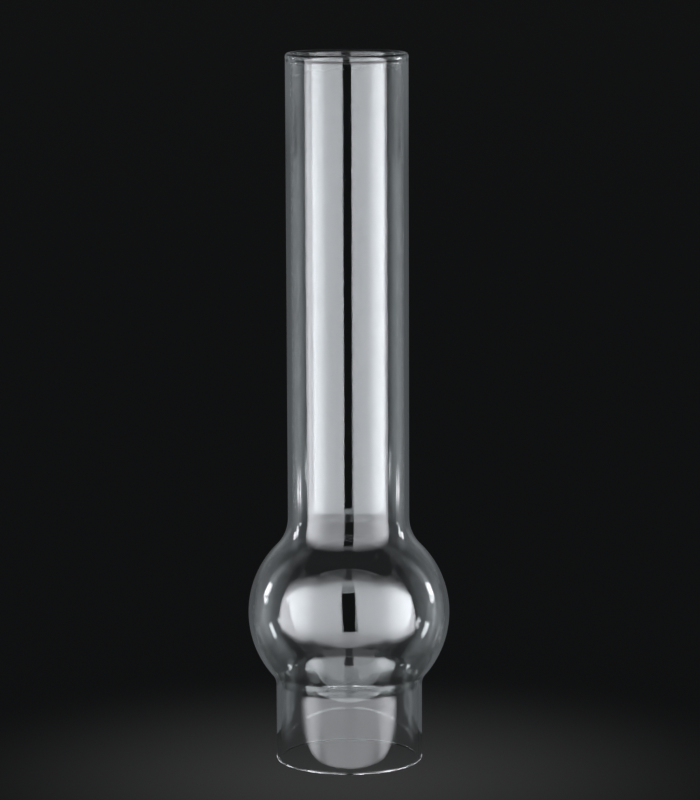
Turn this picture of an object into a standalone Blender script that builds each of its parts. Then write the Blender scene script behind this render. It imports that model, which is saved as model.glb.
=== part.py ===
"""A clear glass chimney for an oil lamp: one blown piece, open at both ends.

It stands on its base rim at z = 0 with its axis on Z: a short round fitter, a ball-shaped bulge that clears the
flame, and a long straight flue with a fire-polished rim. Metres, +Z up.
"""

import math

import bpy

# Heights along the axis
HEIGHT = 0.260
BULGE_HEIGHT = 0.055  # of the bulge's widest circle

# Outside radii from the axis, and the curves that join them
FITTER_RADIUS = 0.0268
FLUE_RADIUS = 0.0222
BULGE_ARC_RADIUS = 0.0348
BULGE_ARC_OFFSET = 0.0021  # the arc's centre stands off the axis, which makes the ball a little flat
FITTER_FILLET = 0.007
NECK_FILLET = 0.0148

# The glass is thickest where it was only drawn, and thinner where it was blown out
FITTER_WALL = 0.0015
BULGE_WALL = 0.0014
FLUE_WALL = 0.0018

# Rims
BEAD_RADIUS = 0.00105  # of the round bead that fire polishing leaves on the flue
BEAD_STANDS_OUT = 0.0001
BASE_CORNER = 0.0005  # leaves a narrow flat land between the base rim's two corners

ROUND_STEPS = 72
BULGE_STEPS = 13
FITTER_FILLET_STEPS = 4
NECK_FILLET_STEPS = 5
BEAD_STEPS = 4  # on each side of its top
CORNER_STEPS = 2


def clear_scene():
    for thing in list(bpy.data.objects):
        bpy.data.objects.remove(thing, do_unlink=True)


def arc(centre, radius, start, end, steps):
    """Points (radius from the axis, height) along an arc, both ends included."""
    turns = [start + (end - start) * step / steps for step in range(steps + 1)]
    return [(centre[0] + radius * math.cos(turn), centre[1] + radius * math.sin(turn)) for turn in turns]


def fillet_between(wall_radius, ball_radius, fillet, side):
    """The hollow curve between an upright wall and the bulge: its centre, and its bearing from the bulge's centre.

    side is 1 above the bulge and -1 below it.
    """
    across = wall_radius + fillet - BULGE_ARC_OFFSET
    up = side * math.sqrt((ball_radius + fillet) ** 2 - across**2)
    return (wall_radius + fillet, BULGE_HEIGHT + up), math.atan2(up, across)


def side_outline(fitter_radius, ball_radius, flue_radius, fitter_fillet, neck_fillet):
    """One side of the glass, from the foot of the flue down to the top of the fitter."""
    neck_centre, neck_bearing = fillet_between(flue_radius, ball_radius, neck_fillet, 1)
    foot_centre, foot_bearing = fillet_between(fitter_radius, ball_radius, fitter_fillet, -1)
    ball_centre = (BULGE_ARC_OFFSET, BULGE_HEIGHT)
    neck = arc(neck_centre, neck_fillet, math.pi, math.pi + neck_bearing, NECK_FILLET_STEPS)
    ball = arc(ball_centre, ball_radius, neck_bearing, foot_bearing, BULGE_STEPS)
    foot = arc(foot_centre, fitter_fillet, math.pi + foot_bearing, math.pi, FITTER_FILLET_STEPS)
    return neck + ball[1:-1] + foot


def top_bead(outer_radius, inner_radius):
    """The round rim, from where it leaves the inside wall over the top to where it meets the outside wall."""
    centre = (outer_radius + BEAD_STANDS_OUT - BEAD_RADIUS, HEIGHT - BEAD_RADIUS)
    outside = -math.acos((outer_radius - centre[0]) / BEAD_RADIUS)
    inside = 2 * math.pi - math.acos((inner_radius - centre[0]) / BEAD_RADIUS)
    rising = arc(centre, BEAD_RADIUS, inside, math.pi / 2, BEAD_STEPS)
    falling = arc(centre, BEAD_RADIUS, math.pi / 2, outside, BEAD_STEPS)
    return rising + falling[1:]


def base_rim(outer_radius, inner_radius):
    """The rounded corners of the base, from the outside wall across the flat land to the inside wall."""
    outer = arc((outer_radius - BASE_CORNER, BASE_CORNER), BASE_CORNER, 0, -math.pi / 2, CORNER_STEPS)
    inner = arc((inner_radius + BASE_CORNER, BASE_CORNER), BASE_CORNER, -math.pi / 2, -math.pi, CORNER_STEPS)
    return outer + inner


def section():
    """The whole section through one wall, as a closed outline that runs down its outer side."""
    outside = side_outline(FITTER_RADIUS, BULGE_ARC_RADIUS, FLUE_RADIUS, FITTER_FILLET, NECK_FILLET)
    inside = side_outline(
        FITTER_RADIUS - FITTER_WALL,
        BULGE_ARC_RADIUS - BULGE_WALL,
        FLUE_RADIUS - FLUE_WALL,
        FITTER_FILLET + FITTER_WALL,
        NECK_FILLET + FLUE_WALL,
    )
    bead = top_bead(FLUE_RADIUS, FLUE_RADIUS - FLUE_WALL)
    base = base_rim(FITTER_RADIUS, FITTER_RADIUS - FITTER_WALL)
    return bead + outside + base + inside[::-1]


def glass_material():
    material = bpy.data.materials.new("clear_glass")
    material.use_nodes = True
    shader = material.node_tree.nodes["Principled BSDF"]
    shader.inputs["Base Color"].default_value = (0.93, 0.96, 0.95, 1.0)
    shader.inputs["Roughness"].default_value = 0.02
    shader.inputs["Metallic"].default_value = 0.0
    shader.inputs["IOR"].default_value = 1.5
    shader.inputs["Transmission Weight"].default_value = 1.0
    return material


def make_chimney():
    outline = section()
    edges = [(point, (point + 1) % len(outline)) for point in range(len(outline))]
    mesh = bpy.data.meshes.new("glass_chimney")
    mesh.from_pydata([(radius, 0.0, height) for radius, height in outline], edges, [])
    mesh.materials.append(glass_material())
    chimney = bpy.data.objects.new("glass_chimney", mesh)
    bpy.context.scene.collection.objects.link(chimney)
    turn = chimney.modifiers.new("turn", "SCREW")
    turn.axis = "Z"
    turn.angle = 2 * math.pi
    turn.steps = turn.render_steps = ROUND_STEPS
    turn.use_merge_vertices = True
    turn.merge_threshold = 0.00001
    turn.use_smooth_shade = True


clear_scene()
make_chimney()
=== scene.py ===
"""The looks of a clear glass lamp chimney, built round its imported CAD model. Metres, +Z up.

The CAD node is a faceted turned solid. Here one fine blown-glass mesh replaces it, with the small faults of
real glass in its walls. It stands on a pale floor between two tall soft boxes. The lights are placed for the
camera and show only in the glass.
"""

import math

import bpy
import numpy as np
from mathutils import Euler, Matrix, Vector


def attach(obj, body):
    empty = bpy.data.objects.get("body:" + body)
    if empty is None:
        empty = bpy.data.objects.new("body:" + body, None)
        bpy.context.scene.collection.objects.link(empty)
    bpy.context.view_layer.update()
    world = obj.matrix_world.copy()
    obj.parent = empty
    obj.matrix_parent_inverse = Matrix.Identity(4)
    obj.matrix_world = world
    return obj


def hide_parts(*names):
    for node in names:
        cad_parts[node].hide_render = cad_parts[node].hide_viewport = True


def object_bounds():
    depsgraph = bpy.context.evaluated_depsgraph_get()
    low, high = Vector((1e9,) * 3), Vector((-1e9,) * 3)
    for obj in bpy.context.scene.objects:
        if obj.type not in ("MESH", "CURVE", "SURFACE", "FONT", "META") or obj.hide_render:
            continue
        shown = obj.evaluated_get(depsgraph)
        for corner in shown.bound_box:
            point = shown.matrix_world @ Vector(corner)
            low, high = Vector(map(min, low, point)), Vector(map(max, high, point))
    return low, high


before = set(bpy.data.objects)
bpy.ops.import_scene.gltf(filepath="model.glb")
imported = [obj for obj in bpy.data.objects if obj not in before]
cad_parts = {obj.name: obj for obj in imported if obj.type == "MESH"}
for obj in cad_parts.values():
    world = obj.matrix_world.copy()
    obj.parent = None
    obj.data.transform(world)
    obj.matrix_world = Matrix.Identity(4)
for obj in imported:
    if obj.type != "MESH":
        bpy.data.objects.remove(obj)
CAD_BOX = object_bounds()

# Heights and curves of the glass, as the CAD has them
BULGE_HEIGHT = 0.055  # of the bulge's widest circle
BULGE_ARC_OFFSET = 0.0021  # the arc's centre stands off the axis
FITTER_FILLET = 0.007
NECK_FILLET = 0.0148
FITTER_WALL = 0.0015
BULGE_WALL = 0.0014
FLUE_WALL = 0.0018
BEAD_RADIUS = 0.00105
BEAD_STANDS_OUT = 0.0001
BEAD_STRETCH = 1.5  # the bead is taller than it is thick
BASE_CORNER = 0.00065

# How finely the glass is turned
ROUND_STEPS = 288
FLUE_ROWS = 46
BULGE_STEPS = 44
NECK_STEPS = 14
FOOT_STEPS = 8
FITTER_ROWS = 14
BEAD_STEPS = 10
CORNER_STEPS = 5
GUARD_ROW = 0.0002  # spacing of the extra rows next to each rim
RING_STEPS = 96  # round the floor and the foot ring


def cad_radius(bottom, top):
    """The farthest CAD corner from the axis between two heights."""
    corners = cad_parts["glass_chimney"].data.vertices
    return max(math.hypot(v.co.x, v.co.y) for v in corners if bottom <= v.co.z <= top)


FLUE_SPAN = (0.0895, 0.25)  # heights between which the CAD's flue is straight
FITTER_SPAN = (0.0, 0.02)
BULGE_SPAN = (BULGE_HEIGHT - 0.002, BULGE_HEIGHT + 0.002)

HEIGHT = CAD_BOX[1][2]
FLUE_RADIUS = cad_radius(*FLUE_SPAN)
FITTER_RADIUS = cad_radius(*FITTER_SPAN)
BULGE_ARC_RADIUS = cad_radius(*BULGE_SPAN) - BULGE_ARC_OFFSET


# ---------------------------------------------------------------- shader helpers

def math_node(nodes, links, operation, first, second):
    """A math node's output. first and second are sockets or numbers."""
    node = nodes.new("ShaderNodeMath")
    node.operation = operation
    for place, value in enumerate((first, second)):
        if isinstance(value, (int, float)):
            node.inputs[place].default_value = value
        else:
            links.new(value, node.inputs[place])
    return node.outputs[0]


def curve_through(nodes, links, place, stops):
    """A socket with a value that runs straight between stops, (place, value), in rising places."""
    first, last = stops[0][0], stops[-1][0]
    low, high = min(value for _, value in stops), max(value for _, value in stops)
    spread = max(high - low, 1e-9)
    share = math_node(nodes, links, "SUBTRACT", place, first)
    share = math_node(nodes, links, "DIVIDE", share, last - first)
    curve = nodes.new("ShaderNodeFloatCurve")
    curve.mapping.extend = "HORIZONTAL"
    points = curve.mapping.curves[0].points
    while len(points) < len(stops):
        points.new(0.5, 0.5)
    for point, (at, value) in zip(points, stops):
        point.location = ((at - first) / (last - first), (value - low) / spread)
        point.handle_type = "VECTOR"
    curve.mapping.update()
    links.new(share, curve.inputs["Value"])
    scaled = math_node(nodes, links, "MULTIPLY", curve.outputs[0], spread)
    return math_node(nodes, links, "ADD", scaled, low)


# ---------------------------------------------------------------- the glass's outline

def arc(centre, radius, start, end, steps):
    """Points (radius from the axis, height) along an arc, both ends included."""
    turns = [start + (end - start) * step / steps for step in range(steps + 1)]
    return [(centre[0] + radius * math.cos(turn), centre[1] + radius * math.sin(turn)) for turn in turns]


def straight(radius, top, bottom, rows):
    """Points down an upright wall, without its ends. Close rows by the rims keep the shading true there."""
    heights = [top + (bottom - top) * row / rows for row in range(1, rows)]
    if top > HEIGHT / 2:
        heights = [top - GUARD_ROW, top - 2 * GUARD_ROW] + heights
    if bottom < FLUE_WALL:
        heights = heights + [bottom + 2 * GUARD_ROW, bottom + GUARD_ROW]
    return [(radius, height) for height in heights]


def fillet_between(wall_radius, ball_radius, fillet, side):
    """The hollow curve between an upright wall and the bulge: its centre, and its bearing from the bulge.

    side is 1 above the bulge and -1 below it.
    """
    across = wall_radius + fillet - BULGE_ARC_OFFSET
    up = side * math.sqrt((ball_radius + fillet) ** 2 - across**2)
    return (wall_radius + fillet, BULGE_HEIGHT + up), math.atan2(up, across)


def side_outline(fitter_radius, ball_radius, flue_radius, fitter_fillet, neck_fillet):
    """One side of the glass, from just under the bead down to just over the base rim's corner."""
    neck_centre, neck_bearing = fillet_between(flue_radius, ball_radius, neck_fillet, 1)
    foot_centre, foot_bearing = fillet_between(fitter_radius, ball_radius, fitter_fillet, -1)
    ball_centre = (BULGE_ARC_OFFSET, BULGE_HEIGHT)
    flue = straight(flue_radius, HEIGHT - 2 * BEAD_STRETCH * BEAD_RADIUS, neck_centre[1], FLUE_ROWS)
    neck = arc(neck_centre, neck_fillet, math.pi, math.pi + neck_bearing, NECK_STEPS)
    ball = arc(ball_centre, ball_radius, neck_bearing, foot_bearing, BULGE_STEPS)
    foot = arc(foot_centre, fitter_fillet, math.pi + foot_bearing, math.pi, FOOT_STEPS)
    fitter = straight(fitter_radius, foot_centre[1], BASE_CORNER, FITTER_ROWS)
    return flue + neck + ball[1:-1] + foot + fitter


def top_bead(outer_radius, inner_radius):
    """The round rim, from where it leaves the inside wall over the top to where it meets the outside wall."""
    centre = (outer_radius + BEAD_STANDS_OUT - BEAD_RADIUS, -BEAD_RADIUS)
    outside = -math.acos((outer_radius - centre[0]) / BEAD_RADIUS)
    inside = 2 * math.pi - math.acos((inner_radius - centre[0]) / BEAD_RADIUS)
    rising = arc(centre, BEAD_RADIUS, inside, math.pi / 2, BEAD_STEPS)
    falling = arc(centre, BEAD_RADIUS, math.pi / 2, outside, BEAD_STEPS)
    return [(radius, HEIGHT + BEAD_STRETCH * depth) for radius, depth in rising + falling[1:]]


def base_rim(outer_radius, inner_radius):
    """The rounded corners of the base, from the outside wall across the flat land to the inside wall."""
    outer = arc((outer_radius - BASE_CORNER, BASE_CORNER), BASE_CORNER, 0, -math.pi / 2, CORNER_STEPS)
    inner = arc((inner_radius + BASE_CORNER, BASE_CORNER), BASE_CORNER, -math.pi / 2, -math.pi, CORNER_STEPS)
    return outer + inner


def section():
    """The section through one wall as a closed outline, and how far each point is from the outer side."""
    outside = side_outline(FITTER_RADIUS, BULGE_ARC_RADIUS, FLUE_RADIUS, FITTER_FILLET, NECK_FILLET)
    inside = side_outline(
        FITTER_RADIUS - FITTER_WALL,
        BULGE_ARC_RADIUS - BULGE_WALL,
        FLUE_RADIUS - FLUE_WALL,
        FITTER_FILLET + FITTER_WALL,
        NECK_FILLET + FLUE_WALL,
    )
    bead = top_bead(FLUE_RADIUS, FLUE_RADIUS - FLUE_WALL)
    base = base_rim(FITTER_RADIUS, FITTER_RADIUS - FITTER_WALL)
    points = bead + outside + base + inside[::-1]
    inner_share = [0.5] * len(bead) + [0.0] * len(outside) + [0.5] * len(base) + [1.0] * len(inside)
    return points, inner_share


# ---------------------------------------------------------------- the glass's small faults

def drawn_lines(turn, seed, waves, depth):
    """Fine lines along drawn glass: many small waves round the axis, the same at every height."""
    chance = np.random.default_rng(seed)
    total = np.zeros_like(turn)
    for wave in waves:
        total += np.sin(wave * turn + chance.uniform(0, 2 * math.pi)) * chance.uniform(0.3, 1.0)
    return depth * total / math.sqrt(len(waves))


def slow_swell(turn, height, seed, depth):
    """The slow changes in a blown wall's thickness, round the axis and up it."""
    chance = np.random.default_rng(seed)
    total = np.zeros_like(turn)
    for wave in (1, 2, 3, 5):
        length = chance.uniform(0.06, 0.16)
        drift = 2 * math.pi * height / length
        total += np.sin(wave * turn + drift + chance.uniform(0, 2 * math.pi)) / wave
    return depth * total


def uneven_rims(radius, height, turn):
    """Fire polishing leaves both rims a little wavy. Nothing here reaches past the CAD's own box."""
    waves = (3, 5, 8, 13, 21, 34)
    at_bead = np.clip((height - (HEIGHT - 0.003)) / 0.001, 0, 1)
    at_base = np.clip((0.003 - height) / 0.002, 0, 1)
    radius = radius - at_bead * np.abs(drawn_lines(turn, 11, waves, 0.00006))
    height = height - at_bead * np.abs(drawn_lines(turn, 12, waves, 0.00009))
    radius = radius - at_base * np.abs(drawn_lines(turn, 13, waves, 0.00003))
    above_land = np.clip(height / 0.0004, 0, 1)
    height = height + at_base * above_land * drawn_lines(turn, 14, waves, 0.00006)
    return radius, height


SWELL = 0.00001  # depths of the faults in the walls
INNER_LINES = 0.000004
OUTER_LINES = 0.0000015


def make_glass_mesh():
    """The section turned round the axis, with the faults in its walls and rims."""
    points, inner_share = section()
    count = len(points)
    turns = np.arange(ROUND_STEPS) * 2 * math.pi / ROUND_STEPS
    radius = np.array([p[0] for p in points])[None, :].repeat(ROUND_STEPS, 0)
    height = np.array([p[1] for p in points])[None, :].repeat(ROUND_STEPS, 0)
    inner = np.array(inner_share)[None, :].repeat(ROUND_STEPS, 0)
    turn = turns[:, None].repeat(count, 1)

    clear_of_rims = np.clip((height - 0.001) / 0.003, 0, 1) * np.clip((HEIGHT - 0.003 - height) / 0.003, 0, 1)
    swell = slow_swell(turn, height, 3, SWELL)
    inner_fault = swell + drawn_lines(turn, 7, (11, 17, 23, 31, 37, 43), INNER_LINES)
    outer_fault = drawn_lines(turn, 5, (13, 19, 29, 41), OUTER_LINES)
    fault = np.where(inner > 0.9, inner_fault, np.where(inner < 0.1, outer_fault, 0))
    radius = radius + clear_of_rims * fault
    radius, height = uneven_rims(radius, height, turn)

    x, y = radius * np.cos(turn), radius * np.sin(turn)
    corners = np.stack([x, y, height], -1).reshape(-1, 3)
    faces = []
    for step in range(ROUND_STEPS):
        here, after = step * count, (step + 1) % ROUND_STEPS * count
        for point in range(count):
            below = (point + 1) % count
            faces.append((here + point, here + below, after + below, after + point))
    mesh = bpy.data.meshes.new("blown_glass")
    mesh.from_pydata(corners.tolist(), [], faces)
    mesh.validate()
    mesh.shade_smooth()
    return mesh


def noise_along_glass(nodes, links, scale, detail, stretch):
    """Noise that is fine round the axis and long up it, like the lines that drawing leaves in glass."""
    place = nodes.new("ShaderNodeTexCoord")
    split = nodes.new("ShaderNodeSeparateXYZ")
    links.new(place.outputs["Object"], split.inputs[0])
    turn = math_node(nodes, links, "ARCTAN2", split.outputs[1], split.outputs[0])
    across = nodes.new("ShaderNodeCombineXYZ")
    links.new(math_node(nodes, links, "COSINE", turn, 0.0), across.inputs[0])
    links.new(math_node(nodes, links, "SINE", turn, 0.0), across.inputs[1])
    links.new(math_node(nodes, links, "MULTIPLY", split.outputs[2], stretch), across.inputs[2])
    noise = nodes.new("ShaderNodeTexNoise")
    noise.inputs["Scale"].default_value = scale
    noise.inputs["Detail"].default_value = detail
    links.new(across.outputs[0], noise.inputs["Vector"])
    return noise.outputs[0], split.outputs[2]


def glass_material():
    """Clear glass: faint draw lines, slow changes of tint, a skin a little less smooth at the base rim."""
    material = bpy.data.materials.new("clear_glass")
    material.use_nodes = True
    nodes, links = material.node_tree.nodes, material.node_tree.links
    shader = nodes["Principled BSDF"]
    shader.inputs["IOR"].default_value = 1.5
    shader.inputs["Transmission Weight"].default_value = 1.0

    cloud, height = noise_along_glass(nodes, links, 1.5, 2.0, 12.0)
    tint = nodes.new("ShaderNodeValToRGB")
    tint.color_ramp.elements[0].color = (0.935, 0.962, 0.955, 1.0)
    tint.color_ramp.elements[1].color = (0.972, 0.985, 0.982, 1.0)
    links.new(cloud, tint.inputs[0])
    links.new(tint.outputs[0], shader.inputs["Base Color"])

    skin = math_node(nodes, links, "MULTIPLY", cloud, 0.004)
    base = curve_through(nodes, links, height, [(0.0, 0.06), (0.0007, 0.03), (0.0016, 0.0), (0.26, 0.0)])
    links.new(math_node(nodes, links, "ADD", skin, base), shader.inputs["Roughness"])

    lines, _ = noise_along_glass(nodes, links, 22.0, 3.0, 4.0)
    bump = nodes.new("ShaderNodeBump")
    bump.inputs["Strength"].default_value = 0.5
    bump.inputs["Distance"].default_value = 0.00001
    links.new(lines, bump.inputs["Height"])
    links.new(bump.outputs[0], shader.inputs["Normal"])

    depth = nodes.new("ShaderNodeVolumeAbsorption")
    depth.inputs["Color"].default_value = (0.72, 0.92, 0.88, 1.0)
    depth.inputs["Density"].default_value = 25.0
    links.new(depth.outputs[0], nodes["Material Output"].inputs["Volume"])
    return material


def make_glass():
    mesh = make_glass_mesh()
    mesh.materials.append(glass_material())
    glass = bpy.data.objects.new("blown_glass", mesh)
    bpy.context.scene.collection.objects.link(glass)
    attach(glass, "root")
    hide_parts("glass_chimney")


# ---------------------------------------------------------------- the stage: floor, soft boxes and lamps

def seen_in_reflections(nodes, links):
    """A socket that is 1 on a path that has been reflected and hasn't met the floor, and 0 on any other."""
    path = nodes.new("ShaderNodeLightPath")
    reflected = math_node(nodes, links, "GREATER_THAN", path.outputs["Glossy Depth"], 0.5)
    direct = math_node(nodes, links, "LESS_THAN", path.outputs["Diffuse Depth"], 0.5)
    return math_node(nodes, links, "MULTIPLY", reflected, direct)


LIGHT_TINT = (1.0, 1.0, 1.06)
WALL_TINT = (0.95, 1.0, 1.07)
ROOM_COLOUR = (0.95, 1.0, 1.04, 1.0)
ROOM = 0.0062  # how bright the dark room is
ROOM_IN_GLASS = 0.08  # and how bright it is in reflections


def glow_material(name, radiance, least=ROOM_IN_GLASS, tint=LIGHT_TINT):
    """A light that shows only in the glass. radiance makes its nodes from x, y and z, sockets in metres."""
    material = bpy.data.materials.new(name)
    material.use_nodes = True
    material.cycles.emission_sampling = "NONE"
    nodes, links = material.node_tree.nodes, material.node_tree.links
    nodes.clear()
    out = nodes.new("ShaderNodeOutputMaterial")
    glow = nodes.new("ShaderNodeEmission")
    glow.inputs["Color"].default_value = (*tint, 1.0)
    place = nodes.new("ShaderNodeTexCoord")
    split = nodes.new("ShaderNodeSeparateXYZ")
    links.new(place.outputs["Object"], split.inputs[0])
    strength = math_node(nodes, links, "ADD", radiance(nodes, links, *split.outputs), least)
    links.new(strength, glow.inputs["Strength"])
    either = nodes.new("ShaderNodeMixShader")
    links.new(seen_in_reflections(nodes, links), either.inputs[0])
    links.new(nodes.new("ShaderNodeBsdfTransparent").outputs[0], either.inputs[1])
    links.new(glow.outputs[0], either.inputs[2])
    links.new(either.outputs[0], out.inputs["Surface"])
    return material


def stage_sheet(name, corners, faces, material):
    """A sheet of light on the stage, which the camera doesn't see."""
    mesh = bpy.data.meshes.new(name)
    mesh.from_pydata(corners, [], faces)
    mesh.materials.append(material)
    sheet = bpy.data.objects.new(name, mesh)
    bpy.context.scene.collection.objects.link(sheet)
    sheet.visible_camera = False
    sheet.visible_shadow = False
    sheet.visible_diffuse = False


def upright_sheet(name, plan, bottom, top, material, head_plan=None):
    """A sheet that stands on points of the plan, (x, y). Its head follows the same plan or its own."""
    corners = [(x, y, bottom) for x, y in plan] + [(x, y, top) for x, y in head_plan or plan]
    count = len(plan)
    faces = [(at, at + 1, count + at + 1, count + at) for at in range(count - 1)]
    stage_sheet(name, corners, faces, material)


GAP = 0.050  # half the gap that the camera looks through
GAP_LEAN = (0.007, 0.013)  # how far the gap's middle is to the right at its foot, and how far left it leans
BOX_FRONT = -0.330
BOX_BACKS = {  # (|x|, y) of each box's back edge at its foot and head; -1 is the left box
    -1: ((0.690, -0.085), (0.696, -0.045)),
    1: ((0.572, -0.104), (0.572, -0.120)),
}
BOX_BOTTOM = -0.200
BOX_TOP = 0.520
WINDOW_BOTTOM = -0.008
WINDOW_TOP = 0.358


def box_radiance(nodes, links, x, y, z):
    """Brightest out beside the glass, and faded towards its top and bottom edges."""
    aside = math_node(nodes, links, "ABSOLUTE", x, 0.0)
    level = curve_through(nodes, links, aside, [
        (0.045, 2.72), (0.1, 2.78), (0.175, 2.87), (0.233, 3.2), (0.27, 3.8), (0.34, 4.85),
        (0.4, 5.4), (0.47, 5.9), (0.56, 6.0), (0.62, 6.1), (0.7, 6.5)])
    low = curve_through(nodes, links, aside, [(0.045, 0.0), (0.2, 0.1), (0.3, 0.3), (0.45, 0.2), (0.7, 0.3)])
    low_share = curve_through(nodes, links, z, [(0.0, 1.0), (0.05, 0.6), (0.1, 0.15), (0.2, 0.0)])
    level = math_node(nodes, links, "ADD", level, math_node(nodes, links, "MULTIPLY", low, low_share))
    top = curve_through(nodes, links, x, [
        (-0.7, 0.29), (-0.55, 0.31), (-0.4, 0.31), (-0.31, 0.325), (-0.233, 0.33), (-0.15, 0.352),
        (-0.045, 0.38), (0.045, 0.38), (0.15, 0.352), (0.233, 0.325), (0.31, 0.315), (0.4, 0.30),
        (0.58, 0.265)])
    above = math_node(nodes, links, "DIVIDE", z, top)
    fade = curve_through(nodes, links, above, [
        (0.55, 1.0), (0.74, 0.92), (0.86, 0.78), (1.0, 0.5), (1.15, 0.35), (1.33, 0.16), (1.6, 0.0)])
    bottom = curve_through(nodes, links, aside, [
        (0.045, -0.130), (0.12, -0.1), (0.233, -0.075), (0.31, -0.098), (0.4, -0.10), (0.7, -0.095)])
    under = math_node(nodes, links, "SUBTRACT", z, bottom)
    edge = curve_through(nodes, links, under, [(-0.045, 0.0), (-0.015, 0.2), (0.02, 0.85), (0.08, 1.0)])
    level = math_node(nodes, links, "MULTIPLY", level, fade)
    return math_node(nodes, links, "MULTIPLY", level, edge)


def gap_middle(z):
    """x of the middle of the gap between the boxes, at a height."""
    return GAP_LEAN[0] - GAP_LEAN[1] * (z - WINDOW_BOTTOM) / (WINDOW_TOP - WINDOW_BOTTOM)


RIGHT_LOW_CARD = [(0.4788, -0.0790), (0.4812, -0.0548)]
RIGHT_LOW_CARD_HEIGHTS = (-0.065, 0.010)


def make_soft_boxes():
    """Two tall boxes, each from beside the camera's window to beside the glass, and a small bright card."""
    material = glow_material("soft_box_glow", box_radiance)
    for side, name in ((-1, "left"), (1, "right")):
        foot, head = (
            [(gap_middle(z) + side * GAP, BOX_FRONT), (side * back[0], back[1])]
            for z, back in zip((BOX_BOTTOM, BOX_TOP), BOX_BACKS[side]))
        upright_sheet(name + "_soft_box", foot, BOX_BOTTOM, BOX_TOP, material, head)

    def low_radiance(nodes, links, x, y, z):
        return curve_through(nodes, links, z, [(-0.065, 0.0), (-0.045, 7.0), (-0.01, 7.0), (0.01, 0.0)])

    low_card = glow_material("right_low_card_glow", low_radiance)
    upright_sheet("right_low_card", RIGHT_LOW_CARD, *RIGHT_LOW_CARD_HEIGHTS, low_card)


def make_window_cards():
    """The window that the camera looks through is dark, and a card above it and one below join the boxes."""
    def plan(z):
        return [(gap_middle(z) - GAP, BOX_FRONT), (gap_middle(z) + GAP, BOX_FRONT)]

    def low_radiance(nodes, links, x, y, z):
        return curve_through(nodes, links, z, [(-0.155, 0.5), (-0.138, 0.7), (-0.112, 2.1), (-0.06, 2.4)])

    def high_radiance(nodes, links, x, y, z):
        return curve_through(nodes, links, z, [(0.35, 0.8), (0.42, 0.6), (0.5, 0.0)])

    def no_radiance(nodes, links, x, y, z):
        return math_node(nodes, links, "MULTIPLY", z, 0.0)

    low, high = glow_material("low_card_glow", low_radiance), glow_material("high_card_glow", high_radiance)
    dark = glow_material("dark_window", no_radiance, 0.0)
    upright_sheet("low_card", plan(BOX_BOTTOM), BOX_BOTTOM, WINDOW_BOTTOM, low, plan(WINDOW_BOTTOM))
    upright_sheet("window", plan(WINDOW_BOTTOM), WINDOW_BOTTOM, WINDOW_TOP, dark, plan(WINDOW_TOP))
    upright_sheet("high_card", plan(WINDOW_TOP), WINDOW_TOP, BOX_TOP, high, plan(BOX_TOP))


UNDER_CARD = (0.172, -0.250, -0.42, -0.130)  # half width, y of its outer edges, bottom, top
UNDER_CARD_FRONT = -0.322  # y of its middle


def make_under_card():
    """A dim card low between the boxes. It shows between the two bright patches low on the bulge."""
    def radiance(nodes, links, x, y, z):
        aside = math_node(nodes, links, "ABSOLUTE", x, 0.0)
        return curve_through(nodes, links, aside, [(0.02, 0.1), (0.03, 0.62), (0.155, 0.55), (0.172, 0.1)])

    half, outer_y, bottom, top = UNDER_CARD
    plan = [(-half, outer_y), (-GAP, UNDER_CARD_FRONT), (GAP, UNDER_CARD_FRONT), (half, outer_y)]
    upright_sheet("under_card", plan, bottom, top, glow_material("under_card_glow", radiance))


FRONT_CARDS = (0.013, 0.092, -0.108, -0.045, -0.050)  # half the gap; outer, front and back edges; height
FRONT_CARDS_GAP = 0.004  # how far the gap's middle stands to the right
FRONT_CARDS_SLANT = 0.022  # how much nearer the camera their back edges end at the outside


def make_front_cards():
    """Two flat cards low in front of the glass, which show under the bulge on either side of a narrow gap."""
    def radiance(nodes, links, x, y, z):
        aside = math_node(nodes, links, "ABSOLUTE", x, 0.0)
        level = curve_through(nodes, links, aside, [
            (0.0, 0.9), (0.04, 0.68), (0.06, 1.05), (0.075, 2.0), (0.1, 2.3)])
        front_fade = curve_through(nodes, links, y, [(-0.108, 0.0), (-0.092, 1.0)])
        return math_node(nodes, links, "MULTIPLY", level, front_fade)

    material = glow_material("front_card_glow", radiance)
    half_gap, reach, front, back, height = FRONT_CARDS
    for side, name in ((-1, "left"), (1, "right")):
        inner, outer = FRONT_CARDS_GAP + side * half_gap, side * reach
        plan = [(inner, front), (outer, front), (outer, back - FRONT_CARDS_SLANT), (inner, back)]
        stage_sheet(name + "_front_card", [(x, y, height) for x, y in plan], [(0, 1, 2, 3)], material)


def round_plan(radius, start, end, side, steps=24):
    """Points of the plan on an arc about the axis. Azimuths are in degrees from the camera's side."""
    turns = [math.radians(start + (end - start) * step / steps) for step in range(steps + 1)]
    return [(side * radius * math.sin(turn), -radius * math.cos(turn)) for turn in turns]


WALL_DISTANCE = 2.0
WALL_BOTTOM = -0.95
WALL_TOP = 1.75
WALL_AZIMUTHS = (84, 180)
WALL_STEPS = 48
FAR_LAMP = (1.85, 112.5, 120.0)  # distance from the axis, and azimuths from and to
FAR_LAMP_HEIGHTS = (0.06, 0.58)
NEAR_LAMP = (0.178, 0.049, 0.068)  # the middle of the right one
NEAR_LAMP_SIZE = (0.020, 0.030)  # width and height


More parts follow.
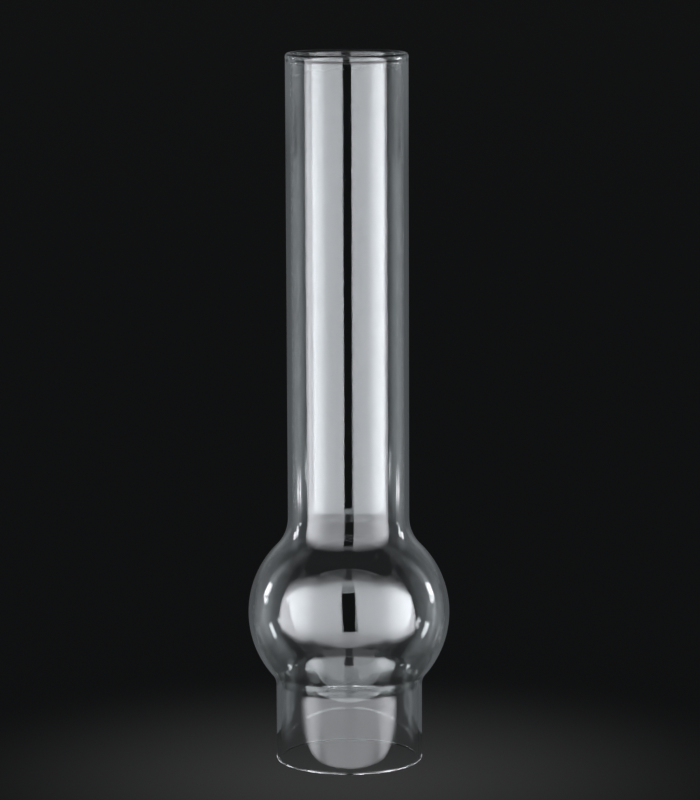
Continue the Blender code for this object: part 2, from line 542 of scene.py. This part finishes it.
def wall_radiance(nodes, links, x, y, z):
    """Dim and even beside the glass, with a brighter upright band, and darker still behind it."""
    side = curve_through(nodes, links, y, [
        (-0.31, 0.2), (0.46, 0.2), (0.65, 0.3), (0.88, 0.9), (1.14, 0.24), (1.31, 0.18), (1.54, 0.0),
        (2.1, 0.0)])
    side_fade = curve_through(nodes, links, z, [
        (-0.95, 0.2), (-0.57, 0.6), (-0.34, 0.9), (-0.19, 1.0), (0.87, 1.0), (1.75, 0.0)])
    back = curve_through(nodes, links, y, [(-0.31, 0.0), (1.31, 0.0), (1.54, 1.0), (2.1, 1.0)])
    back_fade = curve_through(nodes, links, z, [
        (-0.95, 0.04), (-0.29, 0.0), (0.05, 0.0), (0.11, 0.05), (0.15, 0.06), (0.43, 0.12), (0.89, 0.15),
        (1.75, 0.0)])
    side = math_node(nodes, links, "MULTIPLY", side, side_fade)
    return math_node(nodes, links, "ADD", side, math_node(nodes, links, "MULTIPLY", back, back_fade))


def far_lamp_radiance(nodes, links, x, y, z):
    """Even, with soft sides, and fading out downwards."""
    first, last = (-FAR_LAMP[0] * math.cos(math.radians(turn)) for turn in FAR_LAMP[1:])
    spread = last - first
    across = curve_through(nodes, links, y, [
        (first, 0.0), (first + 0.3 * spread, 1.0), (last - 0.3 * spread, 1.0), (last, 0.0)])
    up = curve_through(nodes, links, z, [
        (0.06, 0.0), (0.1, 0.3), (0.125, 0.8), (0.14, 1.5), (0.147, 2.8), (0.165, 6.0), (0.2, 14.0),
        (0.43, 14.0), (0.52, 8.0), (0.58, 0.0)])
    return math_node(nodes, links, "MULTIPLY", across, up)


def near_lamp_radiance(nodes, links, x, y, z):
    """A small bright spot in the lamp's upper half."""
    half = NEAR_LAMP_SIZE[1] / 2
    middle = NEAR_LAMP[2]
    up = curve_through(nodes, links, z, [
        (middle - 0.6 * half, 0.0), (middle - 0.2 * half, 3.0), (middle + 0.2 * half, 16.0),
        (middle + half, 0.0)])
    reach = 0.5 * NEAR_LAMP_SIZE[0] * NEAR_LAMP[0] / math.hypot(*NEAR_LAMP[:2])
    across = curve_through(nodes, links, y, [
        (NEAR_LAMP[1] - reach, 0.0), (NEAR_LAMP[1], 1.0), (NEAR_LAMP[1] + reach, 0.0)])
    return math_node(nodes, links, "MULTIPLY", up, across)


def make_surroundings():
    """The room's dim walls, and on each side a tall lamp near the wall and a small one near the glass."""
    wall = glow_material("wall_glow", wall_radiance, tint=WALL_TINT)
    far = glow_material("far_lamp_glow", far_lamp_radiance)
    near = glow_material("near_lamp_glow", near_lamp_radiance)
    for side, name in ((-1, "left"), (1, "right")):
        wall_plan = round_plan(WALL_DISTANCE, *WALL_AZIMUTHS, side, WALL_STEPS)
        upright_sheet(name + "_wall", wall_plan, WALL_BOTTOM, WALL_TOP, wall)
        upright_sheet(name + "_far_lamp", round_plan(*FAR_LAMP, side), *FAR_LAMP_HEIGHTS, far)
        x, y, z = NEAR_LAMP
        reach = math.hypot(x, y)
        across = (-y / reach * NEAR_LAMP_SIZE[0] / 2, x / reach * NEAR_LAMP_SIZE[0] / 2)
        plan = [(side * (x - across[0]), y - across[1]), (side * (x + across[0]), y + across[1])]
        upright_sheet(name + "_near_lamp", plan, z - NEAR_LAMP_SIZE[1] / 2, z + NEAR_LAMP_SIZE[1] / 2, near)


FOOT_RING = (0.0264, 0.0278, -0.00015)  # inner and outer radius, height
FOOT_RING_GAP = 0.0005  # x of the middle of its dark gap
FOOT_RING_PATCHES = 170.0  # scale of the noise that breaks it up
FEW_TURNS = 4.5  # it shows only on paths with fewer turns than this


def make_foot_ring():
    """A broken ring of light just under the base rim, which brightens the rim.

    It shows only on short light paths, so that the bulge doesn't mirror it.
    """
    def radiance(nodes, links, x, y, z):
        noise = nodes.new("ShaderNodeTexNoise")
        noise.inputs["Scale"].default_value = FOOT_RING_PATCHES
        noise.inputs["Detail"].default_value = 1.0
        place = nodes.new("ShaderNodeTexCoord")
        links.new(place.outputs["Object"], noise.inputs["Vector"])
        patches = curve_through(nodes, links, noise.outputs[0], [(0.35, 1.5), (0.5, 5.0), (0.62, 16.0)])
        off_middle = math_node(nodes, links, "SUBTRACT", x, FOOT_RING_GAP)
        aside = math_node(nodes, links, "ABSOLUTE", off_middle, 0.0)
        gap = curve_through(nodes, links, aside, [
            (0.0012, 0.0), (0.0022, 1.0), (0.015, 1.0), (0.022, 0.3), (0.028, 0.12)])
        path = nodes.new("ShaderNodeLightPath")
        short_path = math_node(nodes, links, "LESS_THAN", path.outputs["Ray Depth"], FEW_TURNS)
        broken = math_node(nodes, links, "MULTIPLY", patches, gap)
        return math_node(nodes, links, "MULTIPLY", broken, short_path)

    inner, outer, height = FOOT_RING
    plans = [round_plan(radius, 0, 360, 1, RING_STEPS)[:-1] for radius in (inner, outer)]
    corners = [(x, y, height) for plan in plans for x, y in plan]
    after = [(at + 1) % RING_STEPS for at in range(RING_STEPS)]
    faces = [(at, after[at], RING_STEPS + after[at], RING_STEPS + at) for at in range(RING_STEPS)]
    stage_sheet("foot_ring", corners, faces, glow_material("foot_ring_glow", radiance))


FLOOR_RADIUS = 6.0
FLOOR_FADES = (1.0, 5.0)  # between these distances it fades into the dark room, so that no horizon shows
FLOOR_COLOUR = (0.88, 0.89, 0.90, 1.0)
FLOOR_DROP = 0.0003  # under the base rim, so that glass and floor don't share a plane
STAND = (0.050, 0.105, 0.0368)  # the floor that the glass reflects fades between two |x| and ends at one |y|


def outside_stand(nodes, links, x, y):
    """A socket that is 0 on the part of the floor that the glass reflects, and 1 outside it."""
    fade_start, fade_end, edge = STAND
    aside = math_node(nodes, links, "ABSOLUTE", x, 0.0)
    aside = curve_through(nodes, links, aside, [(fade_start, 0.0), (fade_end, 1.0)])
    ahead = math_node(nodes, links, "GREATER_THAN", math_node(nodes, links, "ABSOLUTE", y, 0.0), edge)
    return math_node(nodes, links, "MAXIMUM", aside, ahead)


def floor_material():
    """Plain, pale and matt. In the glass it ends close round the base, so that the boxes show below it.

    Far out it fades away altogether.
    """
    material = bpy.data.materials.new("pale_floor")
    material.use_nodes = True
    nodes, links = material.node_tree.nodes, material.node_tree.links
    nodes.clear()
    out = nodes.new("ShaderNodeOutputMaterial")
    matt = nodes.new("ShaderNodeBsdfDiffuse")
    matt.inputs["Color"].default_value = FLOOR_COLOUR
    open_air = nodes.new("ShaderNodeBsdfTransparent")
    place = nodes.new("ShaderNodeTexCoord")
    split = nodes.new("ShaderNodeSeparateXYZ")
    links.new(place.outputs["Object"], split.inputs[0])
    path = nodes.new("ShaderNodeLightPath")
    reflected = math_node(nodes, links, "GREATER_THAN", path.outputs["Glossy Depth"], 0.5)
    outside = outside_stand(nodes, links, split.outputs[0], split.outputs[1])
    gone = math_node(nodes, links, "MULTIPLY", reflected, outside)
    away = nodes.new("ShaderNodeVectorMath")
    away.operation = "LENGTH"
    links.new(place.outputs["Object"], away.inputs[0])
    near, far = FLOOR_FADES
    far_off = curve_through(nodes, links, away.outputs["Value"], [(near, 0.0), (far, 1.0)])
    gone = math_node(nodes, links, "MAXIMUM", gone, far_off)
    either = nodes.new("ShaderNodeMixShader")
    links.new(gone, either.inputs[0])
    links.new(matt.outputs[0], either.inputs[1])
    links.new(open_air.outputs[0], either.inputs[2])
    links.new(either.outputs[0], out.inputs["Surface"])
    return material


def make_floor():
    mesh = bpy.data.meshes.new("floor")
    rim = round_plan(FLOOR_RADIUS, 0, 360, 1, RING_STEPS)[:-1]
    mesh.from_pydata([(x, y, 0.0) for x, y in rim], [], [tuple(range(len(rim)))])
    mesh.materials.append(floor_material())
    floor = bpy.data.objects.new("floor", mesh)
    floor.location.z = -FLOOR_DROP
    bpy.context.scene.collection.objects.link(floor)
    return floor


FLOOR_LIGHT_PLACE = (0.0, -0.03, 1.2)
FLOOR_LIGHT_WATTS = 2.6
FLOOR_LIGHT_CONE = 11  # degrees
FLOOR_LIGHT_RADIUS = 0.08


def light_floor(floor):
    """One soft overhead light, on the floor alone. It fades out a little way round the glass."""
    data = bpy.data.lights.new("floor_light", "SPOT")
    data.energy = FLOOR_LIGHT_WATTS
    data.spot_size = math.radians(FLOOR_LIGHT_CONE)
    data.spot_blend = 1.0
    data.shadow_soft_size = FLOOR_LIGHT_RADIUS
    light = bpy.data.objects.new("floor_light", data)
    light.location = FLOOR_LIGHT_PLACE
    bpy.context.scene.collection.objects.link(light)
    only_floor = bpy.data.collections.new("lit_by_floor_light")
    only_floor.objects.link(floor)
    light.light_linking.receiver_collection = only_floor
    light.light_linking.blocker_collection = only_floor


def make_world():
    """A dark room, and a faint light from all round that shows only in the glass."""
    world = bpy.data.worlds.new("dark_room")
    bpy.context.scene.world = world
    world.use_nodes = True
    nodes, links = world.node_tree.nodes, world.node_tree.links
    nodes["Background"].inputs["Color"].default_value = ROOM_COLOUR
    faint = math_node(nodes, links, "MULTIPLY", seen_in_reflections(nodes, links), ROOM_IN_GLASS - ROOM)
    links.new(math_node(nodes, links, "ADD", faint, ROOM), nodes["Background"].inputs["Strength"])
    world.cycles.sampling_method = "NONE"


CAMERA_PLACE = (0.0007, -1.331, 0.3394)
CAMERA_DOWN = 8.787  # degrees below level
CAMERA_ROLL = -0.23  # degrees
CAMERA_LENS = 166.25  # mm
CAMERA_SENSOR = 36.0  # mm


def make_camera():
    data = bpy.data.cameras.new("camera")
    data.lens = CAMERA_LENS
    data.sensor_width = CAMERA_SENSOR
    camera = bpy.data.objects.new("camera", data)
    bpy.context.scene.collection.objects.link(camera)
    camera.location = CAMERA_PLACE
    upright = Euler((math.radians(90 - CAMERA_DOWN), 0.0, 0.0)).to_matrix()
    camera.rotation_euler = (upright @ Matrix.Rotation(math.radians(CAMERA_ROLL), 3, "Z")).to_euler()
    bpy.context.scene.camera = camera


def set_light_paths():
    scene = bpy.context.scene
    scene.view_settings.view_transform = "Standard"
    scene.cycles.max_bounces = 24
    scene.cycles.glossy_bounces = 12
    scene.cycles.transmission_bounces = 24


make_camera()
make_glass()
make_soft_boxes()
make_window_cards()
make_under_card()
make_front_cards()
make_surroundings()
make_foot_ring()
light_floor(make_floor())
make_world()
set_light_paths()
